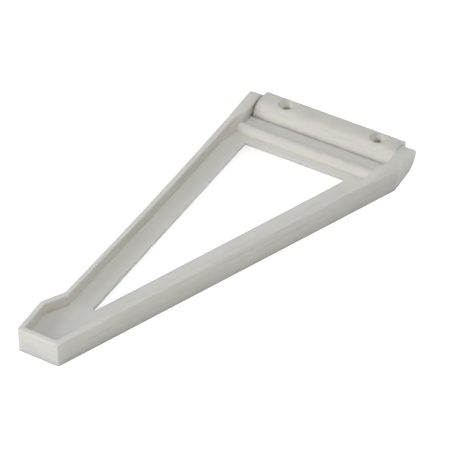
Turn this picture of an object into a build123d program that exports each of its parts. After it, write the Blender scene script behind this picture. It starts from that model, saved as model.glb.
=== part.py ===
from build123d import *
import os

os.makedirs("parts", exist_ok=True)

# Swing bracket for a drop leaf, folded flat, in millimetres. The origin lies midway between the two
# wall screws on the wall face of the hinge block. X runs from the hinge along the arm, Y along the
# hinge, and Z out of the wall.

# Arm: overall sizes
arm_height = 15.4
nose_x = 217.2
hinge_width = 99.6
side_from_screws = 50.6

# Arm: side wall, which sweeps gently outwards from the hinge to the pad
side_start_x = 24.4
side_flare = 6.3
side_bow = 0.8
side_wall_hinge = 3.6
side_wall_pad = 2.7

# Arm: support pad and nose
jog_length = 11.0
pad_length = 22.4
pad_step = 7.0
nose_width = 23.6
rim_wall = 2.9
nose_corner_round = 0.6

# Arm: brace
brace_start_x = 16.3
brace_wall = 3.3

# Arm: web between the walls, with its window
web_thickness = 2.0
web_rear_x = 11.6
window_rear_x = 31.8
side_flange = 15.05
brace_flange_hinge = 15.25
brace_flange_nose = 14.2
window_corner_round = 1.0

# Arm: round bar across the hinge end
bar_x = 23.0
bar_radius = 4.05
bar_seat = 0.9

# Hinge: ears of the arm, rounded about the pin
pivot_x = 2.8
ear_thickness = 6.9
ear_relief = 0.1
ear_crease_x = 11.0
brace_ear_lean = 1.0
outer_edge_round = 0.5

# Gussets that carry the ears into the walls
side_gusset_top_x = 13.1
side_gusset_foot_x = 27.0
side_gusset_far_x = 37.6
brace_gusset_start_x = 14.6
brace_gusset_near_x = 23.4
brace_gusset_far_x = 28.2
brace_gusset_end_x = 36.2
brace_gusset_depth = 3.6
brace_gusset_shoulder = 4.6

# Hinge block
block_side_gap = 0.9
block_brace_gap = 0.4
block_front_x = 11.1
barrel_radius = 7.3
block_behind = 6.3
block_rear_height = 13.6
block_rear_round = 1.8
block_end_round = 0.4

# Hinge pins: short rods, tight in the ears and running in the block
pin_radius = 1.5
pin_seat_clearance = 0.01
pin_running_clearance = 0.05
pin_blind_depth = 5.0
pin_block_depth = 9.0
pin_recess = 0.3

# Wall screws
screw_spacing = 55.5
screw_hole_radius = 2.2
screw_head_radius = 4.4
screw_seat_z = 13.6
screw_head_angle = 90.0

# Worked out from the sizes above
side_y = -side_from_screws
brace_y = side_y + hinge_width
side_ear_inner_y = side_y + ear_thickness
brace_ear_inner_y = brace_y - ear_thickness
pivot_z = arm_height / 2
ear_radius = pivot_z - ear_relief
ear_end_x = pivot_x - ear_radius
pad_start_x = nose_x - pad_length
side_end_x = pad_start_x - jog_length
web_top = (arm_height + web_thickness) / 2
middle = Plane.XY.offset(pivot_z)
side_start = Vector(side_start_x, side_y)
side_end = Vector(side_end_x, side_y - side_flare)
pad_y = side_end.Y - pad_step
pad_start = Vector(pad_start_x, pad_y)
nose_pad_corner = Vector(nose_x, pad_y)
nose_brace_corner = Vector(nose_x, pad_y + nose_width)
brace_start = Vector(brace_start_x, brace_y)


def direction(start, end):
    """Unit vector from one point of the plan to another."""
    return (end - start).normalized()


def inward(run):
    """Unit vector to the left of a wall, which is the arm's inner side going round it."""
    return Vector(-run.Y, run.X)


def meet(start_a, run_a, start_b, run_b):
    """Point of the plan where two straight lines meet."""
    span = start_b - start_a
    turn = run_a.X * run_b.Y - run_a.Y * run_b.X
    return start_a + run_a * ((span.X * run_b.Y - span.Y * run_b.X) / turn)


side_run = direction(side_start, side_end)
jog_run = direction(side_end, pad_start)
brace_run = direction(nose_brace_corner, brace_start)
across = Vector(0, 1)
along = Vector(1, 0)

# Inner faces of the walls, in plan
side_inner_y = side_y + side_wall_hinge
side_inner_start = Vector(side_start_x, side_inner_y)
jog_inner = side_end + inward(jog_run) * rim_wall
jog_inner_start = meet(side_end + across * side_wall_pad, side_run, jog_inner, jog_run)
jog_inner_end = meet(pad_start + across * rim_wall, along, jog_inner, jog_run)
nose_inner_corner = nose_pad_corner + across * rim_wall - along * rim_wall
brace_inner = nose_brace_corner + inward(brace_run) * brace_wall
brace_inner_nose = meet(nose_inner_corner, across, brace_inner, brace_run)
brace_inner_hinge = meet(Vector(0, brace_ear_inner_y), along, brace_inner, brace_run)

# Edges of the window, in plan
side_flange_edge = side_start + inward(side_run) * side_flange
brace_flange_start = brace_start + inward(brace_run) * brace_flange_hinge
brace_flange_end = nose_brace_corner + inward(brace_run) * brace_flange_nose
brace_flange_run = direction(brace_flange_end, brace_flange_start)
window_rear = Vector(window_rear_x, 0)
window_side_corner = meet(window_rear, across, side_flange_edge, side_run)
window_brace_corner = meet(window_rear, across, brace_flange_start, brace_flange_run)
window_tip = meet(side_flange_edge, side_run, brace_flange_start, brace_flange_run)

# Gusset of the side ear: the ear block, cut by one slanting facet down to the web
with BuildPart() as side_gusset:
    facet_foot = Vector(side_gusset_foot_x, side_ear_inner_y, web_top)
    facet_far = Vector(side_gusset_far_x, side_inner_y, web_top)
    facet_top = Vector(side_gusset_top_x, side_ear_inner_y, arm_height)
    facet_normal = (facet_top - facet_foot).cross(facet_far - facet_foot)
    with BuildSketch(middle):
        with BuildLine():
            Polyline(
                (web_rear_x, side_ear_inner_y),
                (web_rear_x, side_inner_y - bar_seat),
                (side_gusset_far_x + bar_seat, side_inner_y - bar_seat),
                (side_gusset_far_x + bar_seat, side_ear_inner_y),
                close=True,
            )
        make_face()
    extrude(amount=pivot_z)
    split(bisect_by=Plane(origin=facet_foot, z_dir=facet_normal), keep=Keep.BOTTOM)

# Gusset of the brace ear: the wall thickened inwards, easing back to the wall on both sides
with BuildPart() as brace_gusset:
    wall_end = meet(Vector(brace_gusset_end_x, 0), across, brace_inner, brace_run)
    with BuildSketch(middle):
        with BuildLine():
            Polyline(
                (brace_gusset_start_x, brace_ear_inner_y),
                (brace_gusset_near_x, brace_ear_inner_y - brace_gusset_depth),
                (brace_gusset_far_x, brace_ear_inner_y - brace_gusset_shoulder),
                wall_end,
                wall_end + across * bar_seat,
                brace_inner_hinge + across * bar_seat,
                (brace_gusset_start_x, brace_ear_inner_y + bar_seat),
                close=True,
            )
        make_face()
    extrude(amount=pivot_z)

# Arm
with BuildPart() as arm:
    with BuildSketch():
        with BuildLine():
            Line((ear_end_x, side_y), side_start)
            SagittaArc(side_start, side_end, side_bow)
            Polyline(side_end, pad_start, nose_pad_corner, nose_brace_corner, brace_start)
            Polyline(brace_start, (ear_end_x, brace_y), (ear_end_x, side_y))
        make_face()
    extrude(amount=arm_height)
    nose_edges = arm.edges().filter_by(Axis.Z).group_by(Axis.X)[-1]
    fillet(nose_edges, radius=nose_corner_round)

    # Bay between the ears for the hinge block
    with BuildSketch():
        with BuildLine():
            Polyline(
                (ear_end_x, side_ear_inner_y),
                (web_rear_x, side_ear_inner_y),
                (web_rear_x, brace_ear_inner_y),
                (ear_end_x, brace_ear_inner_y),
                close=True,
            )
        make_face()
    extrude(amount=arm_height, mode=Mode.SUBTRACT)

    # Recess above the web, and the same below it
    with BuildSketch(Plane.XY.offset(web_top)) as recess:
        with BuildLine():
            Line((web_rear_x, side_inner_y), side_inner_start)
            SagittaArc(side_inner_start, jog_inner_start, side_bow)
            Polyline(jog_inner_start, jog_inner_end, nose_inner_corner, brace_inner_nose)
            Polyline(brace_inner_nose, brace_inner_hinge, (web_rear_x, brace_ear_inner_y))
            Line((web_rear_x, brace_ear_inner_y), (web_rear_x, side_inner_y))
        make_face()
    extrude(amount=arm_height - web_top, mode=Mode.SUBTRACT)
    with BuildSketch() as under_recess:
        add(recess.sketch_local)
    extrude(amount=arm_height - web_top, mode=Mode.SUBTRACT)

    # Gussets, above the web and below it
    for gusset in (side_gusset.part, brace_gusset.part):
        add(gusset)
        add(mirror(gusset, about=middle, mode=Mode.PRIVATE))

    # Window through the web
    with BuildSketch():
        with BuildLine():
            Polyline(window_side_corner, window_tip, window_brace_corner, close=True)
        make_face()
        fillet(vertices(), radius=window_corner_round)
    extrude(amount=arm_height, mode=Mode.SUBTRACT)

    # Round bar, let into both walls
    bar_start_y = side_inner_y - bar_seat
    bar_end_y = brace_ear_inner_y + bar_seat
    with BuildSketch(Plane.XZ.offset(-bar_start_y)):
        with Locations((bar_x, pivot_z)):
            Circle(bar_radius)
    extrude(amount=bar_start_y - bar_end_y)

    # Rounded ends of the ears
    with BuildSketch(Plane.XZ):
        with BuildLine():
            Polyline(
                (pivot_x, pivot_z + ear_radius),
                (ear_crease_x, arm_height),
                (nose_x, arm_height),
                (nose_x, 0),
                (ear_crease_x, 0),
                (pivot_x, pivot_z - ear_radius),
            )
            ThreePointArc(
                (pivot_x, pivot_z - ear_radius),
                (ear_end_x, pivot_z),
                (pivot_x, pivot_z + ear_radius),
            )
        make_face()
    extrude(amount=nose_x, both=True, mode=Mode.INTERSECT)
    round_edges = arm.edges().filter_by(GeomType.CIRCLE).group_by(Axis.X)[0].sort_by(Axis.Y)
    fillet([round_edges[0], round_edges[-1]], radius=outer_edge_round)

    # Outer face of the brace ear, which leans in towards the wall
    lean_plane = Plane(origin=(0, brace_y, arm_height), z_dir=(0, arm_height, -brace_ear_lean))
    split(bisect_by=lean_plane, keep=Keep.BOTTOM)

    # Bores for the pins: through the side ear, blind in the brace ear
    bore_run = brace_ear_inner_y + pin_blind_depth - side_y
    with BuildSketch(Plane.XZ.offset(-side_y)):
        with Locations((pivot_x, pivot_z)):
            Circle(pin_radius + pin_seat_clearance)
    extrude(amount=-bore_run, mode=Mode.SUBTRACT)

arm.part.label = "arm"
export_step(arm.part, "parts/arm.step")

# Hinge block: a barrel in front, a gently falling top and a flat wall face
with BuildPart() as hinge_block:
    block_start_y = side_ear_inner_y + block_side_gap
    block_end_y = brace_ear_inner_y - block_brace_gap
    block_start = Plane.XZ.offset(-block_start_y)
    block_end = Plane.XZ.offset(-block_end_y)
    barrel_top = (block_front_x - barrel_radius, pivot_z + barrel_radius)
    barrel_front = (block_front_x, pivot_z)
    rear_top = (-block_behind, block_rear_height)
    with BuildSketch(block_start):
        with BuildLine():
            Polyline(rear_top, (-block_behind, 0), (block_front_x, 0), barrel_front)
            TangentArc(barrel_front, barrel_top, tangent=(0, 1))
            TangentArc(barrel_top, rear_top, tangent=(-1, 0))
        make_face()
    extrude(amount=block_start_y - block_end_y)

    # Rounded rear edge
    rear_edge = hinge_block.edges().filter_by(Axis.Y).group_by(Axis.X)[0].sort_by(Axis.Z)[-1]
    fillet(rear_edge, radius=block_rear_round)
    end_edges = hinge_block.faces().filter_by(Plane.XZ).edges()
    upper_end_edges = end_edges.filter_by_position(Axis.Z, pivot_z, pivot_z + barrel_radius)
    fillet(upper_end_edges, radius=block_end_round)

    # Countersunk screw holes
    with Locations(Plane.XY.offset(screw_seat_z)):
        with GridLocations(0, screw_spacing, 1, 2):
            CounterSinkHole(screw_hole_radius, screw_head_radius, counter_sink_angle=screw_head_angle)

    # Bores for the pins, blind from both ends
    for end_plane, depth in ((block_start, -pin_block_depth), (block_end, pin_block_depth)):
        with BuildSketch(end_plane):
            with Locations((pivot_x, pivot_z)):
                Circle(pin_radius + pin_running_clearance)
        extrude(amount=depth, mode=Mode.SUBTRACT)

hinge_block.part.label = "hinge_block"
export_step(hinge_block.part, "parts/hinge_block.step")

# Hinge pin: pushed in through the side ear
with BuildPart() as hinge_pin:
    pin_length = block_start_y + pin_block_depth - side_y - 2 * pin_recess
    with BuildSketch(Plane.XZ.offset(-side_y - pin_recess)):
        with Locations((pivot_x, pivot_z)):
            Circle(pin_radius)
    extrude(amount=-pin_length)
    chamfer(hinge_pin.edges(), length=pin_recess)

hinge_pin.part.label = "hinge_pin"
export_step(hinge_pin.part, "parts/hinge_pin.step")

# Brace pin: held in the blind bore of the brace ear
with BuildPart() as brace_pin:
    brace_pin_end_y = brace_ear_inner_y + pin_blind_depth - pin_recess
    brace_pin_length = brace_pin_end_y - block_end_y + pin_block_depth - pin_recess
    with BuildSketch(Plane.XZ.offset(-brace_pin_end_y)):
        with Locations((pivot_x, pivot_z)):
            Circle(pin_radius)
    extrude(amount=brace_pin_length)
    chamfer(brace_pin.edges(), length=pin_recess)

brace_pin.part.label = "brace_pin"
export_step(brace_pin.part, "parts/brace_pin.step")
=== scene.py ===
import math

import bpy
from bpy.props import FloatProperty, PointerProperty, StringProperty
from mathutils import Matrix, Vector


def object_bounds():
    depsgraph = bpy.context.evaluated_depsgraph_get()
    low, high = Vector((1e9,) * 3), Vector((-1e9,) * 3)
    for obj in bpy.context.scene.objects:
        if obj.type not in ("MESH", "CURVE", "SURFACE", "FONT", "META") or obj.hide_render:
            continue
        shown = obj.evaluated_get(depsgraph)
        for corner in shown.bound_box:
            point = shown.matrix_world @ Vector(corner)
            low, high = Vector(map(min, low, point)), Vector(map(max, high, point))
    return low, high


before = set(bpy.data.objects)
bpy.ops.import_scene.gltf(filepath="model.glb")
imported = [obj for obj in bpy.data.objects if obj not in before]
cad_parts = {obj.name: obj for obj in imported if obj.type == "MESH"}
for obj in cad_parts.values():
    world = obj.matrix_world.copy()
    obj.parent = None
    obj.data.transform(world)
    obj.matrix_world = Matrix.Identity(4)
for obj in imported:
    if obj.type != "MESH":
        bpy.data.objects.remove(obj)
CAD_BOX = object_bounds()

bl_info = {
    "name": "Swing Bracket Looks",
    "version": (1, 0, 0),
    "blender": (4, 5, 0),
    "location": "3D View > Sidebar > Bracket",
    "description": "Finishes, studio and camera for a moulded swing bracket of a drop leaf",
    "category": "3D View",
}

MM = 0.001

# Moulded plastic: its flow marks, its relief with the depth in mm, and the light that soaks in.
FLOW_STRETCH = (0.03, 0.12, 1.0)
FLOW_FADE = (0.52, 0.72)
FLOW_SHARE = 0.6
SPLIT_RELIEF = 3.0
RELIEF_STRENGTH = 0.12
RELIEF_DEPTH = 0.05
POLYPROPYLENE_IOR = 1.49
SOAK_RADIUS = (1.0, 0.92, 0.84)

# Drawn rod: its marks run along Y, with their depth in mm.
DRAW_STRETCH = (1.0, 0.02, 1.0)
DRAW_STRENGTH = 0.2
DRAW_DEPTH = 0.02
STEEL_ROUGHNESS = 0.32

# Camera in metres, with the directions of its right side and of its view.
CAMERA_PLACE = (1.041, 0.5159, 1.0294)
CAMERA_RIGHT = (-0.4877, 0.8731, 0.0)
CAMERA_FORWARD = (-0.6356, -0.3550, -0.6855)


def linear(hex_colour):
    """Linear colour with alpha from an sRGB hex value such as #c8c7c3."""
    channels = [int(hex_colour[i : i + 2], 16) / 255 for i in (1, 3, 5)]
    return [c / 12.92 if c <= 0.04045 else ((c + 0.055) / 1.055) ** 2.4 for c in channels] + [1.0]


def add_node(tree, kind, settings=None, **links):
    """Adds a node. Settings are its own; links go to its inputs, as values or other nodes' sockets."""
    node = tree.nodes.new(kind)
    for name, value in (settings or {}).items():
        setattr(node, name, value)
    for name, value in links.items():
        key = int(name[1:]) if name[0] == "i" and name[1:].isdigit() else name.replace("_", " ")
        socket = node.inputs[key]
        if isinstance(value, bpy.types.NodeSocket):
            tree.links.new(value, socket)
        else:
            socket.default_value = value
    return node


def new_material(name):
    """Empty node material and its tree."""
    material = bpy.data.materials.new(name)
    material.use_nodes = True
    material.node_tree.nodes.clear()
    return material, material.node_tree


def per_metre(size_mm):
    """Pattern scale, in repeats to the metre, of a pattern of that size in millimetres."""
    return 1 / (size_mm * MM)


class PlasticSettings(bpy.types.PropertyGroup):
    """White moulded plastic of the arm and the hinge block."""

    body: StringProperty(name="Body colour", description="Plastic as moulded", default="#eeebe3")
    shade: StringProperty(name="Shade colour", description="Greyer cloud in the plastic", default="#e8e5dd")
    roughness: FloatProperty(name="Roughness", description="Of the satin mould finish", default=0.42)
    grain: FloatProperty(name="Grain, mm", description="Size of the mould's fine texture", default=0.5)
    cloud: FloatProperty(name="Cloud, mm", description="Size of the soft clouds of colour", default=24.0)
    edge: FloatProperty(name="Edge, mm", description="Radius of the moulded edges", default=0.35)
    streak: FloatProperty(name="Streak, mm", description="Spacing of the flow marks along it", default=1.4)
    streak_shade: StringProperty(name="Streak colour", description="Of the flow marks", default="#dcdbd5")
    split: FloatProperty(name="Split line, mm", description="Height of the mould's split", default=7.7)
    split_width: FloatProperty(name="Split width, mm", description="Of the line it leaves", default=0.35)
    depth: FloatProperty(name="Depth, mm", description="How far light soaks into it", default=6.0)
    depth_share: FloatProperty(name="Depth share", description="Share of light that soaks in", default=0.9)


class PinSettings(bpy.types.PropertyGroup):
    """Drawn steel rod of the hinge pins."""

    steel: StringProperty(name="Steel colour", description="Colour of the drawn rod", default="#b9b7b2")
    draw_marks: FloatProperty(
        name="Draw marks, mm", description="Spacing of the marks along it", default=0.15
    )


class StageSettings(bpy.types.PropertyGroup):
    """Floor, lamps and camera."""

    floor: StringProperty(name="Floor colour", description="Pale studio floor", default="#fafafa")
    glow: FloatProperty(name="Backdrop", description="White that the camera sees", default=0.75)
    floor_size: FloatProperty(name="Floor size", description="Side of it", default=6.0, unit="LENGTH")
    lens: FloatProperty(name="Lens, mm", description="Focal length on a 36 mm sensor", default=227.0)
    world: FloatProperty(name="World", description="Strength of the even light all round", default=0.15)
    world_tint: StringProperty(name="World tint", description="Cool", default="#f4f9ff")
    top: FloatProperty(name="Top lamp", description="Power, W", default=7.4, unit="POWER")
    top_tint: StringProperty(name="Top tint", description="Warm", default="#fff8f0")
    pad: FloatProperty(name="Pad lamp", description="Power, W", default=7.3, unit="POWER")
    pad_tint: StringProperty(name="Pad tint", description="Slightly cool", default="#f3f6ff")
    front: FloatProperty(name="Front lamp", description="Power, W", default=2.9, unit="POWER")
    front_tint: StringProperty(name="Front tint", description="Plain", default="#fffdf6")
    rear: FloatProperty(name="Rear lamp", description="Power, W", default=2.8, unit="POWER")
    rear_tint: StringProperty(name="Rear tint", description="Cool", default="#c6e6ff")


def moulded_plastic(settings):
    """Satin white polypropylene, injection moulded.

    The mould's fine texture breaks the gloss, the colour clouds softly, and edges are slightly round.
    Faint flow marks run along it, the mould's split leaves a fine line, and light soaks in a little.
    """
    material, tree = new_material("satin_moulded_polypropylene")
    place = add_node(tree, "ShaderNodeTexCoord").outputs["Object"]
    cloud = add_node(
        tree, "ShaderNodeTexNoise", Vector=place, Scale=per_metre(settings.cloud), Detail=3.0
    )
    colour = add_node(
        tree,
        "ShaderNodeMix",
        {"data_type": "RGBA"},
        i0=cloud.outputs["Fac"],
        i6=linear(settings.body),
        i7=linear(settings.shade),
    )
    along = add_node(tree, "ShaderNodeMapping", Vector=place, Scale=FLOW_STRETCH)
    streaks = add_node(
        tree,
        "ShaderNodeTexNoise",
        Vector=along.outputs["Vector"],
        Scale=per_metre(settings.streak),
        Detail=3.0,
    )
    faint = add_node(
        tree,
        "ShaderNodeMapRange",
        Value=streaks.outputs["Fac"],
        From_Min=FLOW_FADE[0],
        From_Max=FLOW_FADE[1],
        To_Max=FLOW_SHARE,
    )
    colour = add_node(
        tree,
        "ShaderNodeMix",
        {"data_type": "RGBA"},
        i0=faint.outputs["Result"],
        i6=colour.outputs[2],
        i7=linear(settings.streak_shade),
    )
    height = add_node(tree, "ShaderNodeSeparateXYZ", Vector=place).outputs["Z"]
    from_split = add_node(
        tree, "ShaderNodeMath", {"operation": "SUBTRACT"}, i0=height, i1=settings.split * MM
    )
    from_split = add_node(tree, "ShaderNodeMath", {"operation": "ABSOLUTE"}, i0=from_split.outputs[0])
    line = add_node(
        tree,
        "ShaderNodeMapRange",
        Value=from_split.outputs[0],
        From_Min=0.0,
        From_Max=settings.split_width * MM,
        To_Min=1.0,
        To_Max=0.0,
    )
    grain = add_node(
        tree, "ShaderNodeTexNoise", Vector=place, Scale=per_metre(settings.grain), Detail=2.0
    )
    relief = add_node(
        tree,
        "ShaderNodeMath",
        {"operation": "MULTIPLY_ADD"},
        i0=line.outputs["Result"],
        i1=SPLIT_RELIEF,
        i2=grain.outputs["Fac"],
    )
    rounded = add_node(tree, "ShaderNodeBevel", {"samples": 6}, Radius=settings.edge * MM)
    bump = add_node(
        tree,
        "ShaderNodeBump",
        Strength=RELIEF_STRENGTH,
        Distance=RELIEF_DEPTH * MM,
        Height=relief.outputs[0],
        Normal=rounded.outputs["Normal"],
    )
    shader = add_node(
        tree,
        "ShaderNodeBsdfPrincipled",
        Base_Color=colour.outputs[2],
        Roughness=settings.roughness,
        IOR=POLYPROPYLENE_IOR,
        Subsurface_Weight=settings.depth_share,
        Subsurface_Radius=SOAK_RADIUS,
        Subsurface_Scale=settings.depth * MM,
        Normal=bump.outputs["Normal"],
    )
    add_node(tree, "ShaderNodeOutputMaterial", Surface=shader.outputs["BSDF"])
    return material


def drawn_steel(settings):
    """Plain low-carbon steel, cold drawn: fine marks run along the rod and stretch its gloss."""
    material, tree = new_material("drawn_steel_rod")
    place = add_node(tree, "ShaderNodeTexCoord").outputs["Object"]
    stretch = add_node(tree, "ShaderNodeMapping", Vector=place, Scale=DRAW_STRETCH)
    marks = add_node(
        tree,
        "ShaderNodeTexNoise",
        Vector=stretch.outputs["Vector"],
        Scale=per_metre(settings.draw_marks),
        Detail=2.0,
    )
    bump = add_node(
        tree,
        "ShaderNodeBump",
        Strength=DRAW_STRENGTH,
        Distance=DRAW_DEPTH * MM,
        Height=marks.outputs["Fac"],
    )
    shader = add_node(
        tree,
        "ShaderNodeBsdfPrincipled",
        Base_Color=linear(settings.steel),
        Metallic=1.0,
        Roughness=STEEL_ROUGHNESS,
        Normal=bump.outputs["Normal"],
    )
    add_node(tree, "ShaderNodeOutputMaterial", Surface=shader.outputs["BSDF"])
    return material


def shade_round(piece, angle=30.0):
    """Shades the round faces of a piece as smooth, and keeps its edges above the angle crisp."""
    tree = bpy.data.node_groups.get("shade_round_faces")
    if tree is None:
        tree = bpy.data.node_groups.new("shade_round_faces", "GeometryNodeTree")
        tree.interface.new_socket("Geometry", in_out="INPUT", socket_type="NodeSocketGeometry")
        tree.interface.new_socket("Geometry", in_out="OUTPUT", socket_type="NodeSocketGeometry")
        source = add_node(tree, "NodeGroupInput")
        smooth = add_node(
            tree, "GeometryNodeSetShadeSmooth", {"domain": "FACE"}, Geometry=source.outputs[0]
        )
        turn = add_node(tree, "GeometryNodeInputMeshEdgeAngle")
        sharp = add_node(
            tree,
            "FunctionNodeCompare",
            {"data_type": "FLOAT", "operation": "GREATER_THAN"},
            A=turn.outputs["Unsigned Angle"],
            B=math.radians(angle),
        )
        crisp = add_node(
            tree,
            "GeometryNodeSetShadeSmooth",
            {"domain": "EDGE"},
            Geometry=smooth.outputs[0],
            Selection=sharp.outputs["Result"],
            Shade_Smooth=False,
        )
        add_node(tree, "NodeGroupOutput", Geometry=crisp.outputs[0])
    modifier = piece.modifiers.new("shade_round_faces", "NODES")
    modifier.node_group = tree


def dress(node, material):
    """Gives a CAD node its finish."""
    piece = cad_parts[node]
    piece.data.materials.clear()
    piece.data.materials.append(material)
    shade_round(piece)


def plastic(settings):
    """The one plastic that both mouldings share."""
    return bpy.data.materials.get("satin_moulded_polypropylene") or moulded_plastic(settings)


class BRACKET_OT_arm(bpy.types.Operator):
    """Dress the arm in satin moulded plastic"""

    bl_idname = "bracket.arm"
    bl_label = "Arm"

    def execute(self, context):
        dress("arm", plastic(context.scene.bracket_plastic))
        return {"FINISHED"}


class BRACKET_OT_hinge_block(bpy.types.Operator):
    """Dress the hinge block in satin moulded plastic"""

    bl_idname = "bracket.hinge_block"
    bl_label = "Hinge block"

    def execute(self, context):
        dress("hinge_block", plastic(context.scene.bracket_plastic))
        return {"FINISHED"}


class BRACKET_OT_hinge_pins(bpy.types.Operator):
    """Dress both hinge pins in drawn steel"""

    bl_idname = "bracket.hinge_pins"
    bl_label = "Hinge pins"

    def execute(self, context):
        steel = drawn_steel(context.scene.bracket_pin)
        for node in ("hinge_pin", "brace_pin"):
            dress(node, steel)
        return {"FINISHED"}


def studio_floor(settings):
    """Matt pale board. The camera and reflections also see a white glow, and shadows stay."""
    material, tree = new_material("matt_studio_board")
    path = add_node(tree, "ShaderNodeLightPath")
    seen = add_node(
        tree,
        "ShaderNodeMath",
        {"operation": "MAXIMUM"},
        i0=path.outputs["Is Camera Ray"],
        i1=path.outputs["Is Glossy Ray"],
    )
    seen = add_node(
        tree,
        "ShaderNodeMath",
        {"operation": "MAXIMUM"},
        i0=seen.outputs[0],
        i1=path.outputs["Is Transmission Ray"],
    )
    glow = add_node(
        tree, "ShaderNodeMath", {"operation": "MULTIPLY"}, i0=seen.outputs[0], i1=settings.glow
    )
    board = add_node(
        tree, "ShaderNodeBsdfDiffuse", Color=linear(settings.floor), Roughness=0.5
    )
    light = add_node(tree, "ShaderNodeEmission", Color=linear("#ffffff"), Strength=glow.outputs[0])
    both = add_node(tree, "ShaderNodeAddShader", i0=board.outputs[0], i1=light.outputs[0])
    add_node(tree, "ShaderNodeOutputMaterial", Surface=both.outputs[0])
    return material


def make_floor(settings):
    """Flat floor under the bracket."""
    half = settings.floor_size / 2
    mesh = bpy.data.meshes.new("studio_floor")
    corners = [(-half, -half, 0), (half, -half, 0), (half, half, 0), (-half, half, 0)]
    mesh.from_pydata(corners, [], [(0, 1, 2, 3)])
    floor = bpy.data.objects.new("studio_floor", mesh)
    bpy.context.collection.objects.link(floor)
    mesh.materials.append(studio_floor(settings))


def make_world(settings):
    """Even pale light all round, and white where the camera looks past the floor."""
    world = bpy.data.worlds.new("studio_world")
    bpy.context.scene.world = world
    world.use_nodes = True
    tree = world.node_tree
    tree.nodes.clear()
    path = add_node(tree, "ShaderNodeLightPath")
    even = add_node(
        tree, "ShaderNodeBackground", Color=linear(settings.world_tint), Strength=settings.world
    )
    white = add_node(tree, "ShaderNodeBackground", Color=linear("#ffffff"), Strength=1.0)
    mix = add_node(
        tree,
        "ShaderNodeMixShader",
        i0=path.outputs["Is Camera Ray"],
        i1=even.outputs[0],
        i2=white.outputs[0],
    )
    add_node(tree, "ShaderNodeOutputWorld", Surface=mix.outputs[0])


def add_lamp(name, place, target, size, power, tint):
    """Square soft lamp that faces a target."""
    data = bpy.data.lights.new(name, "AREA")
    data.shape = "SQUARE"
    data.size = size
    data.energy = power
    data.color = linear(tint)[:3]
    lamp = bpy.data.objects.new(name, data)
    bpy.context.collection.objects.link(lamp)
    lamp.location = place
    lamp.rotation_mode = "QUATERNION"
    lamp.rotation_quaternion = (Vector(target) - Vector(place)).to_track_quat("-Z", "Y")


def make_camera(settings):
    """Camera at the photograph's viewing angle."""
    data = bpy.data.cameras.new("photo_camera")
    data.sensor_width = 36.0
    data.lens = settings.lens
    data.clip_start = 0.05
    data.clip_end = 20.0
    camera = bpy.data.objects.new("photo_camera", data)
    bpy.context.collection.objects.link(camera)
    right = Vector(CAMERA_RIGHT).normalized()
    forward = Vector(CAMERA_FORWARD).normalized()
    up = right.cross(forward)
    turn = Matrix((right, up, -forward)).transposed()
    camera.matrix_world = Matrix.Translation(CAMERA_PLACE) @ turn.to_4x4()
    bpy.context.scene.camera = camera


class BRACKET_OT_stage(bpy.types.Operator):
    """Make the floor, the world, the lamps and the camera"""

    bl_idname = "bracket.stage"
    bl_label = "Stage"

    def execute(self, context):
        settings = context.scene.bracket_stage
        low, high = CAD_BOX
        middle = (Vector(low) + Vector(high)) / 2
        make_floor(settings)
        make_world(settings)
        for name, offset, size in LAMPS:
            power = getattr(settings, name)
            tint = getattr(settings, name + "_tint")
            add_lamp(name + "_lamp", middle + Vector(offset), middle, size, power, tint)
        make_camera(settings)
        context.scene.view_settings.view_transform = "Standard"
        return {"FINISHED"}


class BRACKET_PT_panel(bpy.types.Panel):
    """Sidebar panel of the bracket"""

    bl_idname = "BRACKET_PT_panel"
    bl_label = "Swing Bracket"
    bl_space_type = "VIEW_3D"
    bl_region_type = "UI"
    bl_category = "Bracket"

    def draw(self, context):
        for operator in OPERATORS:
            self.layout.operator(operator.bl_idname)
        for settings in ("bracket_plastic", "bracket_pin", "bracket_stage"):
            group = getattr(context.scene, settings)
            column = self.layout.column()
            for name in group.__annotations__:
                column.prop(group, name)


LAMPS = (
    ("top", (0.0, 0.0, 1.4), 0.7),
    ("pad", (0.9, -0.9, 0.6), 0.6),
    ("front", (1.35, -0.1, 0.35), 0.6),
    ("rear", (-1.0, 0.6, 0.8), 0.7),
)
GROUPS = {
    "bracket_plastic": PlasticSettings,
    "bracket_pin": PinSettings,
    "bracket_stage": StageSettings,
}
OPERATORS = (BRACKET_OT_arm, BRACKET_OT_hinge_block, BRACKET_OT_hinge_pins, BRACKET_OT_stage)


def register():
    for name, group in GROUPS.items():
        bpy.utils.register_class(group)
        setattr(bpy.types.Scene, name, PointerProperty(type=group))
    for operator in OPERATORS:
        bpy.utils.register_class(operator)
    bpy.utils.register_class(BRACKET_PT_panel)


def unregister():
    bpy.utils.unregister_class(BRACKET_PT_panel)
    for operator in reversed(OPERATORS):
        bpy.utils.unregister_class(operator)
    for name, group in GROUPS.items():
        delattr(bpy.types.Scene, name)
        bpy.utils.unregister_class(group)


def main():
    register()
    bpy.ops.bracket.arm()
    bpy.ops.bracket.hinge_block()
    bpy.ops.bracket.hinge_pins()
    bpy.ops.bracket.stage()


if __name__ == "__main__":
    main()
